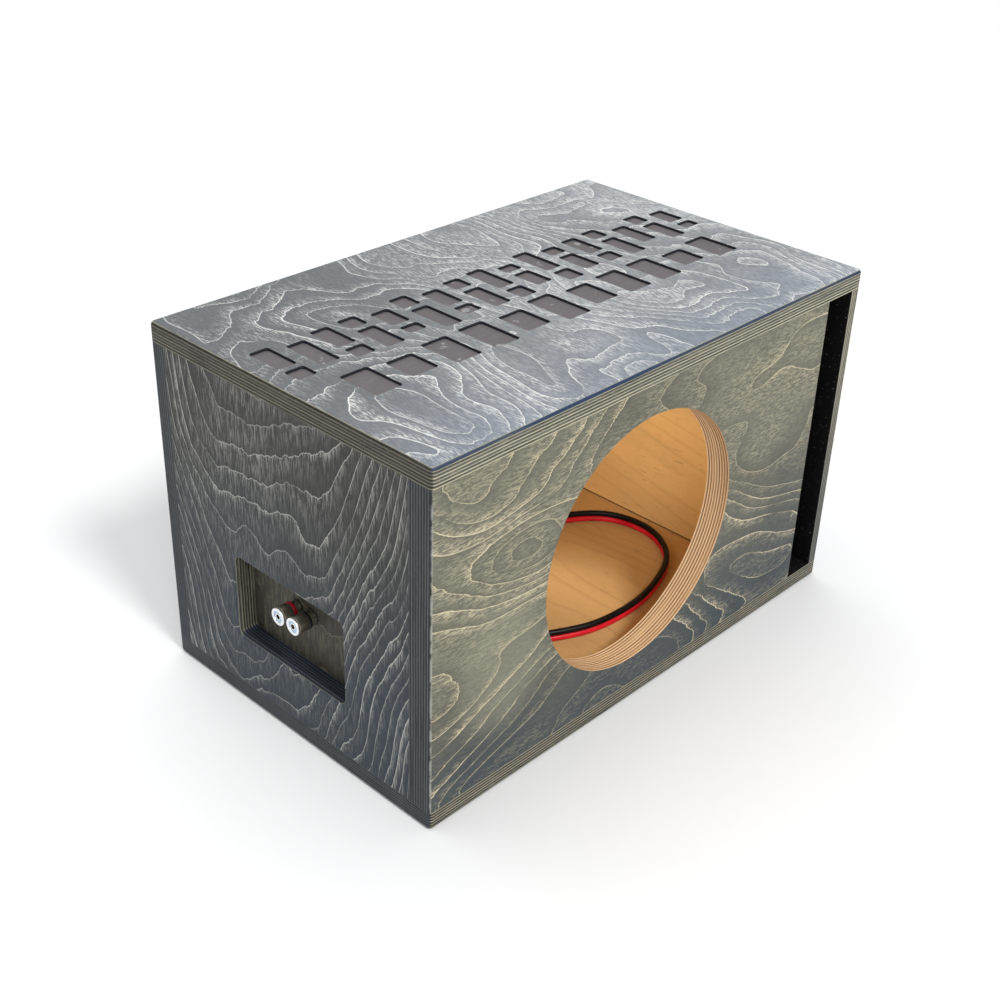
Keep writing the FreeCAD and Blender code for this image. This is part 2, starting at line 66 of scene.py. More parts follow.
FOOT_SHADE = 0.0202, 0.0190  # painted shade at the foot of the walls fades in over these heights
SLOT_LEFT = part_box("port_wall")[1][0]
RETURN_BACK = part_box("port_return_wall")[1][1]
RETURN_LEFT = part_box("port_return_wall")[0][0]

# ---------------------------------------------------------------- shader maths


class Value:
    """A socket of a finish's node tree. Arithmetic on it adds Math nodes."""

    def __init__(self, finish, socket):
        self.finish, self.socket = finish, socket

    def __add__(self, other):
        return self.finish.math("ADD", self, other)

    def __radd__(self, other):
        return self.finish.math("ADD", other, self)

    def __sub__(self, other):
        return self.finish.math("SUBTRACT", self, other)

    def __rsub__(self, other):
        return self.finish.math("SUBTRACT", other, self)

    def __mul__(self, other):
        return self.finish.math("MULTIPLY", self, other)

    def __rmul__(self, other):
        return self.finish.math("MULTIPLY", other, self)

    def __truediv__(self, other):
        return self.finish.math("DIVIDE", self, other)


class Finish:
    """One procedural material, its shader and the nodes that vary it over a surface."""

    def __init__(self, name):
        self.material = bpy.data.materials.new(name)
        self.material.use_nodes = True
        self.tree = self.material.node_tree
        self.tree.nodes.clear()
        self.output = self.tree.nodes.new("ShaderNodeOutputMaterial")
        self.shader = self.tree.nodes.new("ShaderNodeBsdfPrincipled")
        self.tree.links.new(self.shader.outputs[0], self.output.inputs[0])

    def node(self, kind, settings=None, sockets=None, out=0):
        """Adds a node: its settings first, then the value or link of each socket."""
        made = self.tree.nodes.new(kind)
        for name, setting in (settings or {}).items():
            setattr(made, name, setting)
        for name, value in (sockets or {}).items():
            if isinstance(value, Value):
                self.tree.links.new(value.socket, made.inputs[name])
            elif value is not None:
                made.inputs[name].default_value = value
        return Value(self, made.outputs[out])

    def set(self, **sockets):
        """Sets or links the shader's own sockets, with spaces written as underscores."""
        for name, value in sockets.items():
            socket = self.shader.inputs[name.replace("_", " ")]
            if isinstance(value, Value):
                self.tree.links.new(value.socket, socket)
            else:
                socket.default_value = value

    def parts(self, vector):
        """The X, Y and Z of a vector."""
        split = self.node("ShaderNodeSeparateXYZ", None, {0: vector}).socket.node
        return [Value(self, socket) for socket in split.outputs]

    def place(self):
        """The three object coordinates."""
        return self.parts(self.node("ShaderNodeTexCoord", out="Object"))

    def facing(self):
        """The three parts of the surface's own normal."""
        return self.parts(self.node("ShaderNodeNewGeometry", out="Normal"))

    def math(self, operation, *values):
        return self.node("ShaderNodeMath", {"operation": operation}, dict(enumerate(values)))

    def point(self, x, y, z):
        return self.node("ShaderNodeCombineXYZ", None, {0: x, 1: y, 2: z})

    def evenly(self, spots, scale):
        """A point for a pattern of the same scale every way."""
        return self.point(*(spot * scale for spot in spots))

    def noise(self, where, scale=1.0, detail=2.0, roughness=0.5):
        return self.node(
            "ShaderNodeTexNoise",
            {"noise_dimensions": "3D"},
            {"Vector": where, "Scale": scale, "Detail": detail, "Roughness": roughness},
        )

    def smooth(self, value, low, high):
        """0 below low, 1 above high and smooth between them; low may be the larger."""
        flip = low > high
        return self.node(
            "ShaderNodeMapRange",
            {"interpolation_type": "SMOOTHSTEP"},
            {
                "Value": value,
                "From Min": min(low, high),
                "From Max": max(low, high),
                "To Min": 1.0 if flip else 0.0,
                "To Max": 0.0 if flip else 1.0,
            },
        )

    def mix(self, amount, one, other):
        """A colour between two colours."""
        spread = [(*c, 1.0) if isinstance(c, (tuple, list)) else c for c in (one, other)]
        return self.node(
            "ShaderNodeMix", {"data_type": "RGBA"}, {0: amount, 6: spread[0], 7: spread[1]}, 2
        )

    def bump(self, height, distance, strength=1.0):
        return self.node(
            "ShaderNodeBump", None, {"Height": height, "Distance": distance, "Strength": strength}
        )


def colour_of(property_colour):
    return tuple(property_colour)[:3]


# ---------------------------------------------------------------- plywood


class Sheet:
    """How one plywood panel was cut: its outer face, the way in from it, and its face grain."""

    def __init__(self, node, stack, outer, inward, thick, plies, grain, seed, slot):
        self.node, self.stack, self.outer, self.inward = node, stack, outer, inward
        self.thick, self.plies, self.grain, self.seed, self.slot = thick, plies, grain, seed, slot
        self.across = 3 - stack - grain


X, Y, Z = 0, 1, 2
BOARD_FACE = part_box("terminal_board")[0][0]
SHEETS = [
    Sheet("top_panel", Z, TOP, -1, 0.018, 13, Y, 3.7, "stained_top"),
    Sheet("bottom_panel", Z, 0.0, 1, 0.018, 13, Y, 11.2, "stained_dark"),
    Sheet("front_baffle", Y, FRONT, 1, 0.024, 17, X, 21.4, "stained_front"),
    Sheet("back_panel", Y, BACK, -1, 0.018, 13, X, 31.9, "stained_dark"),
    Sheet("left_end_panel", X, LEFT, 1, 0.018, 13, Z, 45.3, "stained_dark"),
    Sheet("right_end_panel", X, RIGHT, -1, 0.0125, 9, Z, 57.6, "stained_dark"),
    Sheet("port_wall", X, 0.2015, 1, 0.018, 13, Y, 63.1, "raw_birch"),
    Sheet("port_return_wall", Y, 0.0935, 1, 0.018, 13, X, 71.8, "raw_birch"),
    Sheet("terminal_board", X, BOARD_FACE, 1, 0.012, 9, Z, 83.5, "stained_dark"),
]


def ring_figure(f, along, across, seed, looks):
    """The growth rings of a peeled veneer, spiky where they run across the grain.

    A flame is its rings for each metre along the grain, how sharply they bend back, and the
    line that they bend about. A knot is its place, its two half sizes and its rings.
    Gives the ring number at a point, and the distance from there to the next ring in metres.
    """
    fibre = f.noise(f.point(along * 9.0, across * 520.0, seed), detail=1.0) - 0.5
    notch = f.noise(f.point(along * 14.0, across * 85.0, seed + 8.0), detail=1.0) - 0.5
    sway = f.noise(f.point(along * 3.1, across * 3.1, seed + 17.0), detail=1.0) - 0.5
    first = along + fibre * 0.004 + notch * looks.get("spikes", 0.012)
    second = across + sway * 0.08
    wander = looks["wander"]

    def field(a, b):
        where = f.point(a * wander[0], b * wander[1], seed * 1.3)
        tall = f.noise(where, detail=2.2, roughness=0.45) * looks["rings"]
        if "flame" in looks:
            per_metre, bend, middle = looks["flame"]
            off = b - middle
            tall = tall + (a - off * off * bend) * per_metre
        if "knot" in looks:
            knot_along, knot_across, half_long, half_wide, count = looks["knot"]
            away_a = (a - knot_along) * (1.0 / half_long)
            away_b = (b - knot_across) * (1.0 / half_wide)
            tall = tall + f.math("EXPONENT", (away_a * away_a + away_b * away_b) * -1.0) * count
        return tall

    here = field(first, second)
    step = 0.004
    lean_a = (field(first + step, second) - here) * (1.0 / step)
    lean_b = (field(first, second + step) - here) * (1.0 / step)
    steep = f.math("SQRT", lean_a * lean_a + lean_b * lean_b + 4.0)
    return here, (1.0 - f.math("FRACT", here)) / steep


def veneer(f, sheet, spots, looks, tints):
    """Stained veneer: clouds of stain, tints with painted shade among them, pale fibres and thin pale
    ring lines.
    """
    along, across = spots[sheet.grain], spots[sheet.across]
    seed = sheet.seed
    rings, distance = ring_figure(f, along, across, seed, looks)
    saw = f.math("FRACT", rings)
    number = f.math("FLOOR", rings) + seed
    ring = f.node("ShaderNodeTexWhiteNoise", {"noise_dimensions": "1D"}, {"W": number})
    clouds = f.noise(f.point(along * 4.0, across * 8.0, seed + 5.0), detail=3.0)
    patches = f.noise(f.point(along * 15.0, across * 34.0, seed + 9.0), detail=2.0)
    fleck_long, fleck_wide = looks["fleck"]
    flecks = f.noise(
        f.point(along * fleck_long, across * fleck_wide, seed + 2.0), detail=3.0, roughness=0.72
    )

    wide = looks["line_wide"]
    line = f.smooth(distance, wide, wide * 0.4) * f.smooth(patches, 0.24, 0.50)
    line = line * (0.35 + ring * 0.65)
    glow = f.smooth(distance, wide * looks["glow"], wide) * f.smooth(patches, 0.42, 0.60) * ring
    streaks = f.smooth(flecks, 0.47, 0.60)
    # late wood takes the stain evenly, early wood stays fibrous and pale
    early = f.smooth(saw + (clouds - 0.5) * 2.4, 0.15, 0.95)

    colour = f.mix(f.smooth(clouds, 0.62, 0.36), looks["mid"], looks["dark"])
    shown = 1.0
    for amount, stain in tints:
        colour = f.mix(amount, colour, stain)
        shown = (1.0 - amount * 0.62) * shown
    colour = f.mix(streaks * (early * 0.75 + 0.25) * shown * looks["fibres"], colour, looks["pale"])
    fibres = f.smooth(flecks, 0.48, 0.36) * shown * looks["fibres"] * 0.9
    colour = f.mix(fibres, colour, looks["deep"])
    colour = f.mix(f.smooth(saw, 0.35, 0.0) * shown * 0.3, colour, looks["deep"])
    colour = f.mix(glow * (streaks * 0.7 + 0.08), colour, looks["line"])
    colour = f.mix(line, colour, looks["line"])
    return colour, flecks, line


def ply_lines(f, depth, spots, sheet, base, pale, dark, seed):
    """The cut edge of the stack: a pale long-grain line and a dark glue line for each two plies."""
    ply = sheet.thick / sheet.plies
    runs = [spots[i] for i in range(3) if i != sheet.stack]
    wave = f.noise(f.point(runs[0] * 22.0, runs[1] * 22.0, seed), detail=2.0) - 0.5
    pair = (depth + wave * 0.0007) * (0.5 / ply)
    within = f.math("FRACT", pair)
    layer = f.math("FLOOR", pair)
    tone = f.node("ShaderNodeTexWhiteNoise", {"noise_dimensions": "1D"}, {"W": layer * 1.37 + seed})
    pores = f.noise(
        f.point(runs[0] * 160.0, runs[1] * 160.0, depth * 2600.0), detail=2.0, roughness=0.6
    )
    worn = f.noise(f.point(runs[0] * 14.0, runs[1] * 14.0, layer * 3.1), detail=2.0)
    crest = f.smooth(f.math("ABSOLUTE", within - 0.30), 0.20, 0.10)
    ditch = f.smooth(f.math("ABSOLUTE", within - 0.70), 0.20, 0.09)
    colour = f.mix(f.smooth(pores, 0.48, 0.72) * 0.35, base, pale)
    colour = f.mix(crest * (0.45 + tone * 0.55) * f.smooth(worn, 0.24, 0.46), colour, pale)
    colour = f.mix(ditch * f.smooth(worn, 0.70, 0.46) * (0.65 + tone * 0.35), colour, dark)
    return colour, pores


def past(f, spot, edge):
    """1 beyond an edge of the port's paint."""
    return f.smooth(spot, edge - PAINT_BLUR, edge + PAINT_BLUR)


def bare_birch(f, along, across, seed, colours):
    """Unstained birch: warm tan with brown flame figure and short pores."""
    pale, tan, brown = colours
    looks = {"rings": 14.0, "wander": (1.4, 7.0), "spikes": 0.03}
    _, distance = ring_figure(f, along, across, seed, looks)
    clouds = f.noise(f.point(along * 4.0, across * 12.0, seed + 4.0), detail=3.0)
    pores = f.noise(f.point(along * 90.0, across * 1300.0, seed + 7.0), detail=2.0, roughness=0.6)
    ticks = f.noise(f.point(along * 45.0, across * 420.0, seed + 9.0), detail=1.0)
    colour = f.mix(f.smooth(clouds, 0.35, 0.68), tan, pale)
    colour = f.mix(f.smooth(distance, 0.006, 0.0004) * 0.22, colour, brown)
    colour = f.mix(f.smooth(pores, 0.52, 0.72) * 0.32, colour, brown)
    colour = f.mix(f.smooth(ticks, 0.70, 0.76) * 0.55, colour, tuple(0.6 * c for c in brown))
    return colour


def plywood(sheet, settings):
    """One panel's finish: stained outside, bare inside, black in the port, plies on cut edges."""
    f = Finish(f"{sheet.node}_finish")
    spots, ways = f.place(), f.facing()
    depth = (spots[sheet.stack] - sheet.outer) * float(sheet.inward)
    flat = f.smooth(f.math("ABSOLUTE", ways[sheet.stack]), 0.90, 0.97)
    looks = {
        "stained_top": {
            "mid": colour_of(settings.top_stain), "line": (0.66, 0.66, 0.63),
            "rings": 26.0, "wander": (4.0, 5.6), "line_wide": 0.0013, "glow": 9.0,
            "fibres": 0.95, "fleck": (150.0, 850.0),
        },
        "stained_front": {
            "mid": colour_of(settings.front_stain), "line": (0.56, 0.49, 0.33),
            "rings": 24.0, "wander": (2.6, 5.0), "line_wide": 0.0012, "glow": 8.0,
            "fibres": 0.75, "fleck": (170.0, 860.0), "knot": (-0.165, 0.232, 0.075, 0.038, 4.6),
        },
        "stained_dark": {
            "mid": colour_of(settings.end_stain), "line": (0.385, 0.385, 0.355),
            "rings": 14.0, "wander": (3.2, 6.5), "line_wide": 0.0012, "glow": 6.0,
            "fibres": 0.90, "fleck": (80.0, 800.0), "flame": (36.0, 11.0, 0.03),
        },
        "raw_birch": {"mid": colour_of(settings.bare_wood)},
    }[sheet.slot]
    mid = looks["mid"]
    if sheet.node == "terminal_board":
        looks["mid"] = mid = tuple(a * b for a, b in zip(mid, (1.15, 1.02, 0.78)))
        looks["flame"], looks["line"], looks["rings"] = (4.0, 2.0, 0.0), (0.20, 0.18, 0.12), 9.0
    blue = colour_of(settings.blue_darkening_colour)
    # painted light and shade inside the chamber: the floor's bare face darker, the port wall and the
    # back panel lighter
    shade = {
        "bottom_panel": (0.62, 0.59, 0.60),
        "port_wall": (1.08, 1.10, 1.10),
        "back_panel": (1.04, 1.05, 1.05),
    }.get(sheet.node, (1.0, 1.0, 1.0))
    birch = colour_of(settings.bare_wood)
    bare = [tuple(k * c * t for c, t in zip(birch, shade)) for k in (1.08, 0.88)]
    bare.append(tuple(c * t for c, t in zip(colour_of(settings.bare_figure), shade)))
    black = colour_of(settings.port_paint)

    # the bare inside face, and the bare or stained edges
    inside = bare_birch(f, spots[sheet.grain], spots[sheet.across], sheet.seed + 2.0, bare)
    if sheet.slot != "raw_birch":
        light = {"stained_top": 0.62, "stained_front": 0.46, "stained_dark": 0.42}[sheet.slot]
        looks["pale"] = tuple((1.0 - light) * a + light * b for a, b in zip(mid, looks["line"]))
        looks["dark"] = tuple(0.66 * a for a in mid)
        looks["deep"] = tuple(0.50 * a for a in mid)
        # painted shade: the veneer turns darker and bluer towards the panel's lower edge, and on the
        # top towards its front; the top is also darker towards its left and back
        low = f.noise(f.evenly(spots, 6.0), detail=2.0) * 0.16
        if sheet.slot == "stained_top":
            # painted shade, darker and bluer, towards the front of the top
            blue_darkening = f.smooth(spots[Y] + low, FRONT + 0.20, FRONT + 0.04)
            tints = [
                # darker towards the left and back
                (
                    f.smooth((spots[X] - spots[Y]) * 0.7 + low, 0.20, -0.14) * 0.95,
                    tuple(0.30 * a for a in mid),
                ),
                (blue_darkening * 0.55, colour_of(settings.top_front_shade)),
            ]
        elif sheet.slot == "stained_front":
            # painted shade, darker and bluer, towards the bottom of the baffle
            blue_darkening = f.smooth(spots[Z] - spots[X] * 0.17 + low, 0.27, 0.10)
            # paler between the left edge and the cut-out
            off_x, off_z = (spots[X] + 0.190) * 16.0, (spots[Z] - 0.125) * 13.0
            paler_patch = f.smooth(off_x * off_x + off_z * off_z + low, 1.1, 0.1)
            tints = [(blue_darkening * 0.92, blue), (paler_patch * 0.55, tuple(1.75 * a for a in mid))]
        elif sheet.node == "terminal_board":
            # on the terminal board the same blue only makes random blotches
            blue_darkening = low
            tints = [(blue_darkening, blue)]
        else:
            # painted shade, darker and bluer, towards the lower edge
            blue_darkening = f.smooth(spots[Z] + low, 0.36, 0.16)
            tints = [(blue_darkening * 0.92, blue)]
        face, flecks, lines = veneer(f, sheet, spots, looks, tints)
        # painted shade: the ply edges that face the ends are darker, and bluer except on the top
        end_on = f.smooth(f.math("ABSOLUTE", ways[X]), 0.45, 0.75)
        end_edge_shade = ((0.20, 0.25, 0.36), (0.17, 0.20, 0.30))
        if sheet.slot == "stained_top":
            end_edge_shade = ((0.33,) * 3, (0.36,) * 3)
        stains = [
            colour_of(getattr(settings, name)) for name in ("edge_grey", "edge_pale", "edge_dark")
        ]
        faded = (0.30, 0.80, 0.5) if sheet.node == "bottom_panel" else (1.0, 1.0, 1.0)
        tones = [
            f.mix(end_on, tuple(a * fade for a in stain), tuple(a * b for a, b in zip(stain, end_shade)))
            for stain, end_shade, fade in zip(stains, (*end_edge_shade, (0.5,) * 3), faded)
        ]
        if sheet.node == "left_end_panel":
            # the window's sill is nearly black
            sill = f.smooth(ways[Z], 0.5, 0.8)
            tones = [
                f.mix(0.50, stain, tuple(k * c for c in (0.9, 0.8, 0.55)))
                for stain, k in zip(stains, (0.03, 0.08, 0.004))
            ]
            sills = ((0.010, 0.014, 0.020), (0.075, 0.090, 0.115), (0.002, 0.003, 0.004))
            tones = [f.mix(sill, tone, dark) for tone, dark in zip(tones, sills)]
        edges, _ = ply_lines(f, depth, spots, sheet, *tones, sheet.seed)
        if sheet.slot != "stained_front":
            # painted shade: the ply edges too turn darker and bluer towards the lower edge, and
            # towards the front on the top
            edge_blue_share = {"top_panel": 0.1, "left_end_panel": 0.15, "bottom_panel": 0.15}
            edges = f.mix(blue_darkening * edge_blue_share.get(sheet.node, 0.6), edges, tuple(0.7 * c for c in blue))
        # the first veneer wraps the rounded edge; below it the plies show
        skin = f.smooth(depth, 0.0011, 0.0006)
        cross = f.noise(
            f.point(spots[sheet.grain] * 900.0, spots[sheet.across] * 70.0, sheet.seed), detail=2.0
        )
        marks = f.noise(
            f.evenly(spots, 60.0), detail=3.0, roughness=0.65
        )
        routed = colour_of(settings.routed_floor)
        routed = f.mix(f.smooth(cross, 0.45, 0.75) * 0.5, routed, looks["deep"])
        routed = f.mix(f.smooth(marks, 0.64, 0.72) * 0.35, routed, looks["pale"])
        colour = f.mix(flat, edges, routed)
        colour = f.mix(skin, colour, face)
        if sheet.slot == "stained_top":
            # a painted reflection, dark blue, on the rounded front edge of the top
            rim = f.smooth(spots[Y], FRONT + 0.0030, FRONT + 0.0012) * f.smooth(
                f.math("ABSOLUTE", spots[Z] - TOP + 0.0022), 0.0017, 0.0009
            )
            colour = f.mix(rim * f.smooth(low, 0.03, 0.10), colour, colour_of(settings.rim_reflection_blue))
            # painted shade, nearly black, on the walls of the routed bars
            within = f.smooth(f.math("ABSOLUTE", spots[X]), RIGHT - 0.012, RIGHT - 0.018) * f.smooth(
                f.math("ABSOLUTE", spots[Y]), BACK - 0.012, BACK - 0.018
            )
            colour = f.mix(within * (1.0 - flat) * 0.92, colour, (0.006, 0.009, 0.020))
        if sheet.slot == "stained_front":
            # a painted highlight, pale and patchy, down the rounded front-left corner
            corner = f.smooth(spots[X] - LEFT, 0.0024, 0.0008) * f.smooth(
                spots[Y] - FRONT, 0.0024, 0.0008
            )
            colour = f.mix(corner * f.smooth(marks, 0.38, 0.56) * 0.8, colour, (0.40, 0.42, 0.41))
        height = flecks * 0.5 + lines * 0.3
        roughness = 0.46 + flecks * 0.24 - lines * 0.05
    else:
        edges, pores = ply_lines(
            f, depth, spots, sheet, bare[1], bare[0], tuple(0.4 * c for c in bare[2]), sheet.seed
        )
        colour = f.mix(flat, edges, inside)
        roughness = 0.62 + pores * 0.1
        height = pores * 0.4

    # what faces the chamber is bare, with painted shade along the foot of each wall where it meets
    # the floor
    behind = f.smooth(depth, sheet.thick - 0.0012, sheet.thick - 0.0006)
    foot_shade = f.smooth(spots[Z], *FOOT_SHADE) * 0.85 if sheet.stack != Z else 0.0
    inside = f.mix(foot_shade, inside, (0.05, 0.022, 0.008))
    if sheet.node in ("top_panel", "bottom_panel", "left_end_panel", "back_panel", "terminal_board"):
        colour = f.mix(behind * flat, colour, inside)
        roughness = roughness + behind * flat * 0.12
    if sheet.slot == "raw_birch":
        colour = f.mix(flat, colour, inside)
    if sheet.node == "front_baffle":
        # the cut-out was sawn after staining, so its wall shows bare plies
        dx, dz = spots[X] - CUTOUT_X, spots[Z] - CUTOUT_Z
        radius = f.math("SQRT", dx * dx + dz * dz)
        sawn = f.smooth(radius, CUTOUT_RADIUS + 0.0010, CUTOUT_RADIUS + 0.0004) * (1.0 - flat)
        raw, _ = ply_lines(
            f, depth, [dx * 0.5, spots[Y], dz * 0.5], sheet, colour_of(settings.sawn_tan),
            colour_of(settings.sawn_pale), colour_of(settings.sawn_dark), 9.3,
        )
        torn = f.noise(f.point(dx * 260.0, depth * 900.0, dz * 260.0), detail=2.0, roughness=0.7)
        raw = f.mix(f.smooth(torn, 0.69, 0.75) * 0.6, raw, (0.95, 0.88, 0.76))
        colour = f.mix(sawn, colour, raw)
        colour = f.mix(behind * flat, colour, inside)
        height = height * (1.0 - sawn) + torn * sawn

    # the port's channel is painted black before glue-up
    specks = f.noise(f.evenly(spots, 700.0), detail=1.0)
    paint = f.mix(f.smooth(specks, 0.735, 0.76), black, (0.30, 0.29, 0.27))
    painted = None
    if sheet.node in ("right_end_panel", "port_wall", "port_return_wall"):
        painted = behind * flat
    elif sheet.node in ("top_panel", "bottom_panel"):
        channel = past(f, spots[X], SLOT_LEFT)
        back_leg = past(f, spots[Y], RETURN_BACK) * past(f, spots[X], RETURN_LEFT)
        painted = f.math("MAXIMUM", channel, back_leg) * behind * flat
    elif sheet.node == "back_panel":
        painted = behind * flat * past(f, spots[X], RETURN_LEFT)
    elif sheet.node == "front_baffle":
        painted = f.smooth(spots[X], SLOT_LEFT - 0.0006, SLOT_LEFT - 0.0002) * f.smooth(
            ways[X], 0.7, 0.9
        )
    if painted is not None:
        colour = f.mix(painted, colour, paint)
        roughness = roughness * (1.0 - painted) + painted * 0.55
    f.set(
        Base_Color=colour,
        Roughness=roughness,
        Specular_IOR_Level=0.32,
        Normal=f.bump(height, 0.00018, 0.6),
    )
    return f.material


# ---------------------------------------------------------------- settings

COLOUR = {"subtype": "COLOR", "size": 3, "min": 0.0, "max": 1.0}


class PlywoodSettings(bpy.types.PropertyGroup):
    top_stain: bpy.props.FloatVectorProperty(
        name="Top stain", description="Stain on the top panel",
        default=(0.275, 0.290, 0.308), **COLOUR
    )
    front_stain: bpy.props.FloatVectorProperty(
        name="Front stain", description="Stain on the baffle",
        default=(0.148, 0.145, 0.106), **COLOUR
    )
    end_stain: bpy.props.FloatVectorProperty(
        name="End stain", description="Stain on the ends, back and underside",
        default=(0.042, 0.043, 0.040), **COLOUR
    )
    # painted shade: the dark blue that stained faces and their ply edges turn towards their lower
    # edges; on the terminal board it only makes random blotches
    blue_darkening_colour: bpy.props.FloatVectorProperty(
        name="Gathered stain", description="Where the stain gathers low down",
        default=(0.020, 0.034, 0.050), **COLOUR
    )
    # painted shade: the darker blue towards the front of the top
    top_front_shade: bpy.props.FloatVectorProperty(
        name="Top wash", description="Bluer stain along the front of the top",
        default=(0.150, 0.190, 0.250), **COLOUR
    )
    # painted reflection: the dark blue on the rounded front edge of the top
    rim_reflection_blue: bpy.props.FloatVectorProperty(
        name="Front rim", description="Stain on the rounded front edge of the top",
        default=(0.012, 0.030, 0.075), **COLOUR
    )
    routed_floor: bpy.props.FloatVectorProperty(
        name="Routed floor", description="Stain on the floors of the routed bars",
        default=(0.105, 0.092, 0.095), **COLOUR
    )
    edge_grey: bpy.props.FloatVectorProperty(
        name="Edge stain", description="Stain between the ply lines of the edges",
        default=(0.085, 0.088, 0.072), **COLOUR
    )
    edge_pale: bpy.props.FloatVectorProperty(
        name="Pale plies", description="Long-grain plies on the stained edges",
        default=(0.60, 0.54, 0.37), **COLOUR
    )
    edge_dark: bpy.props.FloatVectorProperty(
        name="Dark plies", description="Glue lines on the stained edges",
        default=(0.005, 0.006, 0.006), **COLOUR
    )
    bare_wood: bpy.props.FloatVectorProperty(
        name="Bare birch", description="Unstained faces inside",
        default=(0.94, 0.62, 0.245), **COLOUR
    )
    bare_figure: bpy.props.FloatVectorProperty(
        name="Bare figure", description="Ring lines and pores of the bare faces",
        default=(0.56, 0.32, 0.12), **COLOUR
    )
    sawn_tan: bpy.props.FloatVectorProperty(
        name="Sawn wood", description="Wood between the ply lines of the cut-out's wall",
        default=(0.54, 0.33, 0.17), **COLOUR
    )
    sawn_pale: bpy.props.FloatVectorProperty(
        name="Sawn pale plies", description="Long-grain plies on the cut-out's wall",
        default=(0.88, 0.67, 0.42), **COLOUR
    )
    sawn_dark: bpy.props.FloatVectorProperty(
        name="Sawn glue lines", description="Glue between the plies on the cut-out's wall",
        default=(0.09, 0.035, 0.013), **COLOUR
    )
    port_paint: bpy.props.FloatVectorProperty(
        name="Port paint", description="Paint inside the slot port",
        default=(0.0015, 0.0015, 0.0015), **COLOUR
    )


class CableSettings(bpy.types.PropertyGroup):
    diameter: bpy.props.FloatProperty(
        name="Wire diameter", description="Outside diameter of one conductor",
        default=0.006, min=0.003, max=0.007,
        unit="LENGTH",
    )
    red: bpy.props.FloatVectorProperty(
        name="Red insulation", description="PVC of the positive wire",
        default=(0.62, 0.012, 0.022), **COLOUR
    )
    black: bpy.props.FloatVectorProperty(
        name="Black insulation", description="PVC of the negative wire",
        default=(0.0025, 0.0025, 0.003), **COLOUR
    )
    copper: bpy.props.FloatVectorProperty(
        name="Copper", description="Bare strands", default=(0.86, 0.42, 0.22), **COLOUR
    )
    strands: bpy.props.IntProperty(
        name="Strands", description="Outer strands at a bare end", default=7, min=5, max=12
    )


class PostSettings(bpy.types.PropertyGroup):
    teeth: bpy.props.IntProperty(
        name="Knurl teeth", description="Straight knurl round each cap", default=64, min=24, max=96
    )
    tooth_depth: bpy.props.FloatProperty(
        name="Knurl depth", description="How deep the knurl is cut",
        default=0.00022, min=0.00005, max=0.0005,
        unit="LENGTH",
    )
    face: bpy.props.FloatVectorProperty(
        name="Cap face", description="Satin silver rim of the cap's face",
        default=(0.88, 0.89, 0.91), **COLOUR
    )
    # the dish's light blue is a painted reflection
    dish: bpy.props.FloatVectorProperty(
        name="Cap dish", description="Polished floor of the cap's face",
        default=(0.42, 0.56, 0.70), **COLOUR
    )
    barrel: bpy.props.FloatVectorProperty(
        name="Cap barrel", description="Gunmetal side of the cap",
        default=(0.27, 0.245, 0.20), **COLOUR
    )
    brass: bpy.props.FloatVectorProperty(
        name="Socket", description="Brass inside the cap's mouth",
        default=(0.60, 0.48, 0.30), **COLOUR
    )
    stud: bpy.props.FloatVectorProperty(
        name="Stud", description="Plated stud and its collar", default=(0.62, 0.59, 0.50), **COLOUR
    )
    red_ring: bpy.props.FloatVectorProperty(
        name="Red ring", description="Positive clamp ring", default=(0.32, 0.004, 0.016), **COLOUR
    )
    black_ring: bpy.props.FloatVectorProperty(
        name="Black ring", description="Negative clamp ring",
        default=(0.008, 0.008, 0.009), **COLOUR
    )


class StageSettings(bpy.types.PropertyGroup):
    lens: bpy.props.FloatProperty(
        name="Lens", description="Focal length", default=53.55, min=20.0, max=120.0, unit="CAMERA"
    )
    distance: bpy.props.FloatProperty(
        name="Distance", description="From the camera to what it looks at",
        default=1.358, unit="LENGTH"
    )
    azimuth: bpy.props.FloatProperty(
        name="Azimuth", description="Turn of the view about the vertical",
        default=math.radians(-46.846), subtype="ANGLE", unit="ROTATION",
    )
    elevation: bpy.props.FloatProperty(
        name="Elevation", description="Height of the view above level",
        default=math.radians(30.715), subtype="ANGLE", unit="ROTATION",
    )
    roll: bpy.props.FloatProperty(
        name="Roll", description="Lean of the camera",
        default=math.radians(1.937), subtype="ANGLE", unit="ROTATION",
    )
    floor: bpy.props.FloatVectorProperty(
        name="Floor", description="Plain pale floor", default=(0.74, 0.74, 0.74), **COLOUR
    )
    key: bpy.props.FloatProperty(
        name="Key light", description="Strength of the light from the front", default=1.86, min=0.0
    )
    fill: bpy.props.FloatProperty(
        name="Fill light", description="Power of the lamp on the left, in watts",
        default=10.0, min=0.0
    )
    chamber: bpy.props.FloatProperty(
        name="Chamber light", description="Power of the lamp inside, in watts",
        default=0.118, min=0.0
    )
    sky: bpy.props.FloatProperty(
        name="Studio fill", description="Brightness of the even surround", default=0.56, min=0.0
    )
    overhead: bpy.props.FloatProperty(
        name="Overhead light", description="Strength of the wide light overhead",
        default=1.36, min=0.0
    )


class CabinetSettings(bpy.types.PropertyGroup):
    plywood: bpy.props.PointerProperty(
        type=PlywoodSettings, name="Plywood", description="Stain and bare wood"
    )
    cable: bpy.props.PointerProperty(type=CableSettings, name="Cable", description="Speaker cable")
    posts: bpy.props.PointerProperty(type=PostSettings, name="Posts", description="Binding posts")
    stage: bpy.props.PointerProperty(
        type=StageSettings, name="Stage", description="Camera, light and floor"
    )


# ---------------------------------------------------------------- makers


def show(name, data):
    """A new object in the scene, at the origin."""
    made = bpy.data.objects.new(name, data)
    bpy.context.scene.collection.objects.link(made)
    return made


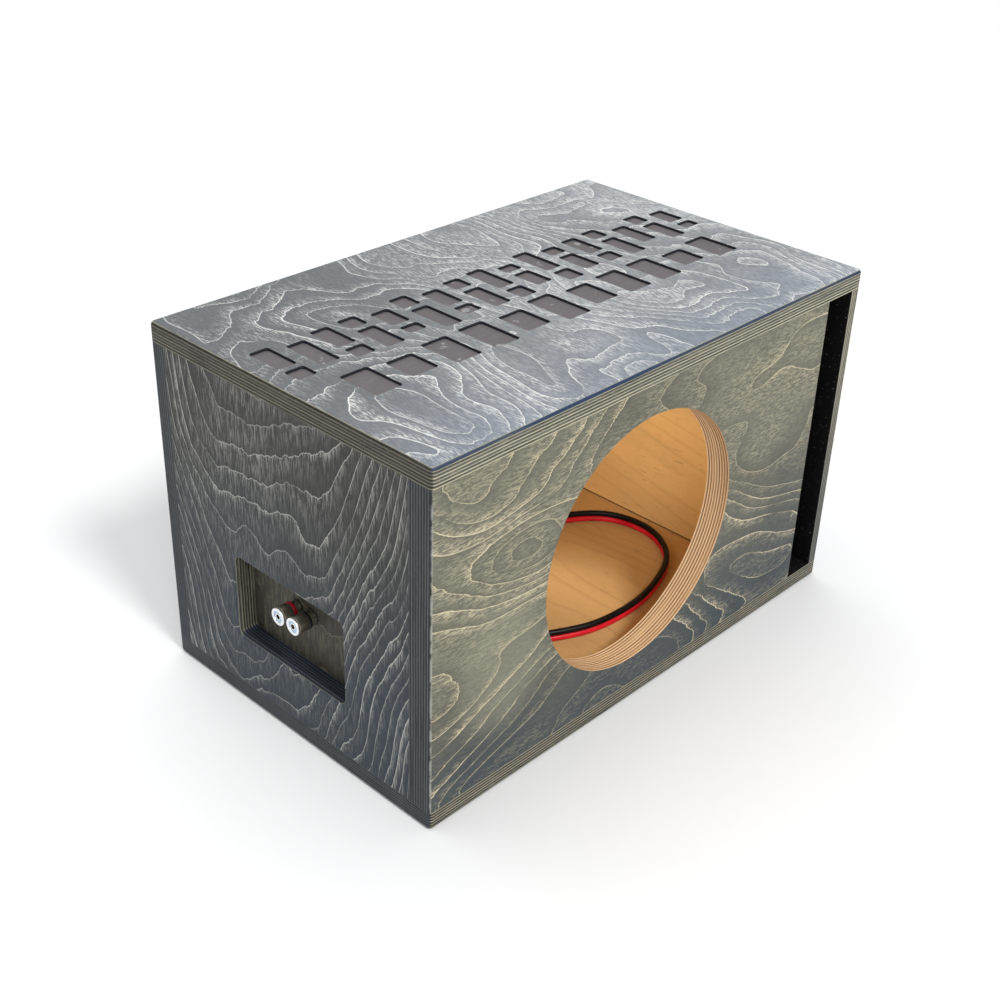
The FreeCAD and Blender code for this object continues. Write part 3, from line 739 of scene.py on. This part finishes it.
def mesh_of(name, bm, materials, smooth=True):
    """Ends a bmesh as a mesh with outward faces."""
    bmesh.ops.recalc_face_normals(bm, faces=bm.faces)
    mesh = bpy.data.meshes.new(name)
    bm.to_mesh(mesh)
    bm.free()
    for material in materials:
        mesh.materials.append(material)
    if smooth:
        mesh.shade_smooth()
    return mesh


def coat(node, material):
    """Puts a finish in every material slot of a CAD node's object."""
    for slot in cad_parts[node].material_slots:
        slot.material = material


# ---------------------------------------------------------------- stage


class CABINET_OT_stage(bpy.types.Operator):
    """Places the camera, the pale floor and the soft lights"""

    bl_idname = "cabinet.stage"
    bl_label = "Place stage"

    def execute(self, context):
        look = context.scene.cabinet.stage
        scene = context.scene
        scene.view_settings.view_transform = "Standard"
        across = Vector((math.cos(look.azimuth), math.sin(look.azimuth), 0.0))
        out = Vector(
            (
                math.sin(look.azimuth) * math.cos(look.elevation),
                -math.cos(look.azimuth) * math.cos(look.elevation),
                math.sin(look.elevation),
            )
        )
        up = out.cross(across)
        rolled = across * math.cos(look.roll) + up * math.sin(look.roll)
        upright = out.cross(rolled)
        target = Vector(LOOKED_AT)
        lens = bpy.data.cameras.new("studio_camera")
        lens.lens = look.lens
        lens.sensor_width = FILM_WIDTH
        lens.clip_start = 0.01
        camera = show("studio_camera", lens)
        turned = Matrix((rolled, upright, out)).transposed().to_4x4()
        camera.matrix_world = Matrix.Translation(target + out * look.distance) @ turned
        scene.camera = camera

        world = bpy.data.worlds.new("even_surround")
        world.use_nodes = True
        background = world.node_tree.nodes["Background"]
        background.inputs["Color"].default_value = (0.97, 0.985, 1.0, 1.0)
        # past the floor's far edge the surround shows as white as the floor
        nodes, links = world.node_tree.nodes, world.node_tree.links
        level = nodes.new("ShaderNodeMath")
        level.operation = "MULTIPLY_ADD"
        links.new(nodes.new("ShaderNodeLightPath").outputs["Is Camera Ray"], level.inputs[0])
        level.inputs[1].default_value = SURROUND_WHITE - look.sky
        level.inputs[2].default_value = look.sky
        links.new(level.outputs[0], background.inputs["Strength"])
        scene.world = world

        bm = bmesh.new()
        bmesh.ops.create_grid(bm, x_segments=1, y_segments=1, size=FLOOR_HALF)
        paper = Finish("studio_paper")
        grain = paper.noise(paper.node("ShaderNodeTexCoord", out="Object"), 40.0, 3.0)
        floor_colour = colour_of(look.floor)
        paper.set(
            Base_Color=paper.mix(grain, tuple(0.99 * c for c in floor_colour), floor_colour),
            Roughness=0.9,
            Specular_IOR_Level=0.1,
        )
        show("studio_floor", mesh_of("studio_floor", bm, [paper.material], smooth=False))

        for name, place, aim, size, spread, power in (
            ("fill_light", (-1.2, -1.5, 1.5), (0.1, 0.0, 0.12), 0.45, 180.0, look.fill),
            ("chamber_light", (-0.175, -0.115, 0.255), (0.201, 0.06, 0.17), 0.07, 80.0, look.chamber),
        ):
            lamp = bpy.data.lights.new(name, "AREA")
            lamp.shape, lamp.size, lamp.energy = "DISK", size, power
            lamp.spread = math.radians(spread)
            lit = show(name, lamp)
            way = (Vector(place) - Vector(aim)).to_track_quat("Z", "Y")
            lit.matrix_world = Matrix.Translation(place) @ way.to_matrix().to_4x4()
        # the key comes from the front, and a wide light overhead softens the shadow at the foot
        for name, way, strength, wide in (
            ("key_light", (-0.20, -1.80, 2.14), look.key, SUN_DISK),
            ("overhead_light", (0.10, 0.40, 1.00), look.overhead, WIDE_DISK),
        ):
            lamp = bpy.data.lights.new(name, "SUN")
            lamp.energy, lamp.angle = strength, math.radians(wide)
            show(name, lamp).matrix_world = Vector(way).to_track_quat("Z", "Y").to_matrix().to_4x4()
        return {"FINISHED"}


# ---------------------------------------------------------------- speaker cable

# Where both conductors run together on the cabinet's floor: along the back, round the loop
# under the cut-out and back along the baffle.
SHARED_ROUTE = [
    (-0.180, 0.030),
    (-0.142, 0.047),
    (-0.098, 0.063),
    (-0.046, 0.077),
    (0.008, 0.083),
    (0.062, 0.080),
    (0.110, 0.067),
    (0.156, 0.043),
    (0.176, 0.016),
    (0.180, -0.023),
    (0.163, -0.057),
    (0.138, -0.077),
    (0.094, -0.093),
    (0.056, -0.0985),
    (0.012, -0.095),
    (-0.018, -0.083),
    (-0.049, -0.065),
    (-0.079, -0.049),
]
RED_LIES, BLACK_LIES = 0.0211, 0.0272
CABLE_ROUTES = {
    "red": [
        (-0.2334, 0.012525, 0.100),
        (-0.2334, 0.012525, 0.077),
        (-0.228, 0.0145, 0.051),
        (-0.209, 0.0205, 0.028),
        *[(x, y, RED_LIES) for x, y in SHARED_ROUTE],
        (-0.105, -0.043, RED_LIES),
    ],
    "black": [
        (-0.2334, -0.006525, 0.100),
        (-0.2334, -0.006525, 0.080),
        (-0.228, -0.002, 0.055),
        (-0.209, 0.012, 0.035),
        *[(x, y, BLACK_LIES) for x, y in SHARED_ROUTE[:-1]],
        (-0.073, -0.042, 0.0262),
        (-0.095, -0.026, 0.0214),
    ],
}
BARE_LONG, CORE_RADIUS = 0.012, 0.0012


def insulation(name, colour, gloss, dusty):
    """Soft PVC: glossy, with finger dullness and dust."""
    f = Finish(name)
    spot = f.node("ShaderNodeTexCoord", out="Object")
    dull = f.noise(spot, 45.0, 3.0, 0.6)
    dust = f.noise(spot, 1900.0, 2.0, 0.6)
    lifted = tuple(min(1.0, c * 1.25 + 0.004) for c in colour)
    shaded = f.mix(f.smooth(dull, 0.35, 0.7), colour, lifted)
    f.set(
        Base_Color=f.mix(f.smooth(dust, 0.72, 0.8) * dusty, shaded, (0.5, 0.45, 0.38)),
        Roughness=gloss + dull * 0.22,
        Specular_IOR_Level=0.18,
        Normal=f.bump(dust * 0.4 + dull, 0.00012, 0.4),
    )
    return f.material


class CABINET_OT_cables(bpy.types.Operator):
    """Lays both conductors of the speaker cable and twists their bare ends"""

    bl_idname = "cabinet.cables"
    bl_label = "Lay speaker cable"

    def execute(self, context):
        look = context.scene.cabinet.cable
        strand_metal = Finish("bare_copper")
        spot = strand_metal.node("ShaderNodeTexCoord", out="Object")
        tarnish = strand_metal.noise(spot, 900.0, 3.0, 0.6)
        copper = colour_of(look.copper)
        strand_metal.set(
            Base_Color=strand_metal.mix(
                strand_metal.smooth(tarnish, 0.4, 0.75), copper, tuple(0.55 * c for c in copper)
            ),
            Metallic=1.0,
            Roughness=0.24 + tarnish * 0.2,
        )
        for colour in COLOURS:
            skin = insulation(
                f"{colour}_insulation", colour_of(getattr(look, colour)),
                *((0.22, 0.3) if colour == "red" else (0.30, 0.12)),
            )
            route = CABLE_ROUTES[colour]
            ends = self.twist_ends(colour, route, look.strands, strand_metal.material)
            curve = bpy.data.curves.new(f"{colour}_speaker_wire", "CURVE")
            curve.dimensions = "3D"
            curve.bevel_depth = look.diameter / 2
            curve.bevel_resolution = 5
            curve.resolution_u = 10
            curve.use_fill_caps = True
            spline = curve.splines.new("NURBS")
            spline.points.add(len(route) - 1)
            for point, place in zip(spline.points, route):
                point.co = (*place, 1.0)
            spline.order_u = 3
            spline.use_endpoint_u = True
            curve.materials.append(skin)
            wire = show(f"{colour}_speaker_wire", curve)
            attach(wire, "cabinet")
            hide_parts(f"{colour}_conductor")
        return {"FINISHED"}

    def twist_ends(self, colour, route, strands, material):
        """Strands twisted a third of a turn round a core, in line with the wire's last run."""
        start = Vector(route[-1])
        ahead = (start - Vector(route[-2])).normalized()
        side = ahead.cross(Vector((0, 0, 1))).normalized()
        over = side.cross(ahead)
        thin = CORE_RADIUS / 3.0
        curve = bpy.data.curves.new(f"{colour}_copper_strands", "CURVE")
        curve.dimensions = "3D"
        curve.bevel_depth = thin
        curve.bevel_resolution = 2
        curve.resolution_u = 6
        curve.use_fill_caps = True
        for strand in range(strands + 1):
            ring = CORE_RADIUS - thin if strand else 0.0
            shorter = 0.0006 * (strand % 3) if strand else 0.0
            spline = curve.splines.new("NURBS")
            spline.points.add(5)
            for step, point in enumerate(spline.points):
                far = (BARE_LONG - shorter) * step / 5.0
                turn = math.tau * strand / strands + math.radians(130.0) * step / 5.0
                offset = side * math.cos(turn) * ring + over * math.sin(turn) * ring
                point.co = (*(start + ahead * far + offset), 1.0)
            spline.order_u = 3
            spline.use_endpoint_u = True
        curve.materials.append(material)
        ends = show(f"{colour}_copper_strands", curve)
        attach(ends, "cabinet")
        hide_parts(f"{colour}_bare_end")
        return ends


# ---------------------------------------------------------------- panels


class CABINET_OT_panels(bpy.types.Operator):
    """Stains, bares and paints the plywood panels"""

    bl_idname = "cabinet.panels"
    bl_label = "Finish plywood"

    def execute(self, context):
        settings = context.scene.cabinet.plywood
        for sheet in SHEETS:
            coat(sheet.node, plywood(sheet, settings))
        return {"FINISHED"}


# ---------------------------------------------------------------- binding posts


def turned_metal(name, colour, roughness, mark=0.5, dark=0.6, bore=None):
    """Lathe-turned metal with fine rings about X, and handling marks. A bore, given as its
    axis's Y and Z and its radius, gets painted shade: its colour darkens inside that radius."""
    f = Finish(name)
    spots = f.place()
    rings = f.noise(f.point(spots[X] * 9000.0, spots[Y] * 60.0, spots[Z] * 60.0), detail=2.0)
    marks = f.noise(f.evenly(spots, 420.0), detail=3.0, roughness=0.6)
    shaded = f.mix(f.smooth(marks, 0.42, 0.72) * mark, colour, tuple(dark * c for c in colour))
    if bore:
        mid_y, mid_z, radius = bore
        away_y, away_z = spots[Y] - mid_y, spots[Z] - mid_z
        away = f.math("SQRT", away_y * away_y + away_z * away_z)
        # painted shade inside the bore
        bore_shade = f.smooth(away, radius + 0.0003, radius + 0.0001)
        shaded = f.mix(bore_shade, shaded, (0.03, 0.022, 0.012))
    f.set(
        Base_Color=shaded,
        Metallic=1.0,
        Roughness=roughness + marks * 0.16 + rings * 0.06,
        Normal=f.bump(rings + marks * 0.6, 0.00002, 0.5),
    )
    return f.material


def moulded(name, colour, roughness):
    """Injection-moulded plastic with a faint orange peel and scuffs."""
    f = Finish(name)
    spot = f.node("ShaderNodeTexCoord", out="Object")
    peel = f.noise(spot, 1500.0, 2.0)
    scuff = f.noise(spot, 380.0, 4.0, 0.7)
    f.set(
        Base_Color=f.mix(
            f.smooth(scuff, 0.55, 0.8) * 0.4, colour, tuple(min(1.0, 1.5 * c + 0.02) for c in colour)
        ),
        Roughness=roughness + f.smooth(scuff, 0.4, 0.8) * 0.2,
        Normal=f.bump(peel, 0.00003, 0.5),
    )
    return f.material


class CABINET_OT_posts(bpy.types.Operator):
    """Turns the knurled screw caps and finishes the studs, clamp rings and insulators"""

    bl_idname = "cabinet.posts"
    bl_label = "Make binding posts"

    def execute(self, context):
        look = context.scene.cabinet.posts
        finishes = [
            turned_metal("cap_face_silver", colour_of(look.face), 0.34, 0.15),
            # the dish's light blue is a painted reflection
            turned_metal("cap_dish_polish", colour_of(look.dish), 0.20, 0.25),
            turned_metal("cap_barrel_gunmetal", colour_of(look.barrel), 0.34, 0.7),
            turned_metal("cap_mouth_brass", colour_of(look.brass), 0.22, 0.3),
        ]
        for colour in COLOURS:
            low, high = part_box(f"{colour}_post_cap")
            bore = ((low[1] + high[1]) / 2, (low[2] + high[2]) / 2, 0.0020)
            coat(
                f"{colour}_post_stud",
                turned_metal(f"{colour}_stud_nickel", colour_of(look.stud), 0.20, 0.8, 0.42, bore),
            )
            coat(
                f"{colour}_post_ring",
                moulded(
                    f"{colour}_clamp_ring_plastic", colour_of(getattr(look, f"{colour}_ring")), 0.18
                ),
            )
            self.turn_cap(colour, look, finishes)
        coat("outer_insulators", moulded("insulator_nylon", (0.012, 0.012, 0.012), 0.4))
        return {"FINISHED"}

    def turn_cap(self, colour, look, finishes):
        """A knurled barrel with a shadow groove behind its dished face, spun about the stud."""
        low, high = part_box(f"{colour}_post_cap")
        mid_y, mid_z = (low[1] + high[1]) / 2, (low[2] + high[2]) / 2
        outer = (high[2] - low[2]) / 2
        face, foot = low[0], high[0]
        # from the bore's foot, out along the barrel, over the face and back down the mouth
        profile = [
            (foot, 0.00355, 2),
            (foot, outer - 0.0008, 2),
            (foot - 0.0004, outer - 0.00025, 2),
            (foot - 0.0009, outer - 0.00012, 2),
            (face + 0.0026, outer - 0.00012, 2),
            (face + 0.0022, outer - 0.0005, 2),
            (face + 0.0021, outer - 0.0011, 2),
            (face + 0.0014, outer - 0.0011, 2),
            (face + 0.0013, outer - 0.0001, 0),
            (face + 0.0005, outer, 0),
            (face + 0.00015, outer - 0.00012, 0),
            (face, outer - 0.0005, 0),
            (face, 0.0056, 0),
            (face + 0.00012, 0.0054, 0),
            (face + 0.0008, 0.00525, 1),
            (face + 0.0008, 0.0032, 0),
            (face + 0.0005, 0.00305, 0),
            (face + 0.0004, 0.0028, 0),
            (face + 0.0004, 0.0024, 3),
            (face + 0.0006, 0.0022, 3),
            (face + 0.0035, 0.0022, 3),
            (face + 0.0035, 0.00355, 2),
        ]
        steps = look.teeth * 2
        bm = bmesh.new()
        verts = [bm.verts.new((x, mid_y, mid_z + radius)) for x, radius, _ in profile]
        edges = [bm.edges.new((a, b)) for a, b in zip(verts, verts[1:] + verts[:1])]
        bmesh.ops.spin(
            bm, geom=verts + edges, cent=(face, mid_y, mid_z), axis=(1, 0, 0), angle=math.tau,
            steps=steps, use_merge=True,
        )
        bmesh.ops.remove_doubles(bm, verts=bm.verts, dist=1e-7)
        # the knurl: every second column of the barrel is pressed in
        barrel_far, barrel_near = face + 0.00255, foot - 0.00085
        for vert in bm.verts:
            flat = Vector((0.0, vert.co.y - mid_y, vert.co.z - mid_z))
            if flat.length > outer - 0.0003 and barrel_far < vert.co.x < barrel_near:
                column = round(math.atan2(flat.y, flat.z) / math.tau * steps)
                if column % 2:
                    vert.co -= flat.normalized() * look.tooth_depth
        for side in bm.faces:
            centre = side.calc_center_median()
            radius = math.hypot(centre.y - mid_y, centre.z - mid_z)
            nearest = min(
                zip(profile, profile[1:] + profile[:1]),
                key=lambda pair: abs((pair[0][0] + pair[1][0]) / 2 - centre.x)
                + abs((pair[0][1] + pair[1][1]) / 2 - radius),
            )
            # a stretch that starts on the barrel takes the later of its two finishes
            start, end = nearest[0][2], nearest[1][2]
            side.material_index = max(start, end) if start == 2 else start
        mesh = mesh_of(f"{colour}_screw_cap", bm, finishes)
        mesh.set_sharp_from_angle(angle=math.radians(24.0))
        cap = show(f"{colour}_screw_cap", mesh)
        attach(cap, f"{colour}_cap")
        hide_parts(f"{colour}_post_cap")


# ---------------------------------------------------------------- inside hardware


class CABINET_OT_hardware(bpy.types.Operator):
    """Finishes the washers, nuts, crimp lugs and sleeves behind the terminal board"""

    bl_idname = "cabinet.hardware"
    bl_label = "Finish inside hardware"

    def execute(self, context):
        zinc = turned_metal("zinc_plate", (0.66, 0.67, 0.69), 0.28, 0.5)
        terminals = [f"{colour}_ring_terminal" for colour in COLOURS]
        for node in ("flat_washers", "lock_washers", "hex_nuts", *terminals):
            coat(node, zinc)
        coat("insulating_washers", moulded("vulcanised_fibre", (0.24, 0.055, 0.04), 0.6))
        coat("red_terminal_sleeve", moulded("red_sleeve_vinyl", (0.46, 0.012, 0.02), 0.34))
        coat("black_terminal_sleeve", moulded("black_sleeve_vinyl", (0.01, 0.01, 0.01), 0.36))
        return {"FINISHED"}


# ---------------------------------------------------------------- add-on

OPERATORS = [
    CABINET_OT_stage, CABINET_OT_cables, CABINET_OT_panels, CABINET_OT_posts, CABINET_OT_hardware,
]


class CABINET_PT_sidebar(bpy.types.Panel):
    """Lists the cabinet's settings and the steps that make it"""

    bl_idname = "CABINET_PT_sidebar"
    bl_label = "Subwoofer cabinet"
    bl_space_type = "VIEW_3D"
    bl_region_type = "UI"
    bl_category = "Cabinet"

    def draw(self, context):
        settings = context.scene.cabinet
        for operator in OPERATORS:
            self.layout.operator(operator.bl_idname)
        for group in (settings.stage, settings.cable, settings.plywood, settings.posts):
            box = self.layout.box()
            for name in group.__annotations__:
                box.prop(group, name)


CLASSES = [
    PlywoodSettings, CableSettings, PostSettings, StageSettings, CabinetSettings, *OPERATORS,
    CABINET_PT_sidebar,
]


def register():
    for cls in CLASSES:
        bpy.utils.register_class(cls)
    bpy.types.Scene.cabinet = bpy.props.PointerProperty(
        type=CabinetSettings, name="Cabinet", description="Settings of the subwoofer cabinet"
    )


def unregister():
    del bpy.types.Scene.cabinet
    for cls in reversed(CLASSES):
        bpy.utils.unregister_class(cls)


def main():
    register()
    bpy.ops.cabinet.stage()
    bpy.ops.cabinet.cables()
    bpy.ops.cabinet.panels()
    bpy.ops.cabinet.posts()
    bpy.ops.cabinet.hardware()


if __name__ == "__main__":
    main()
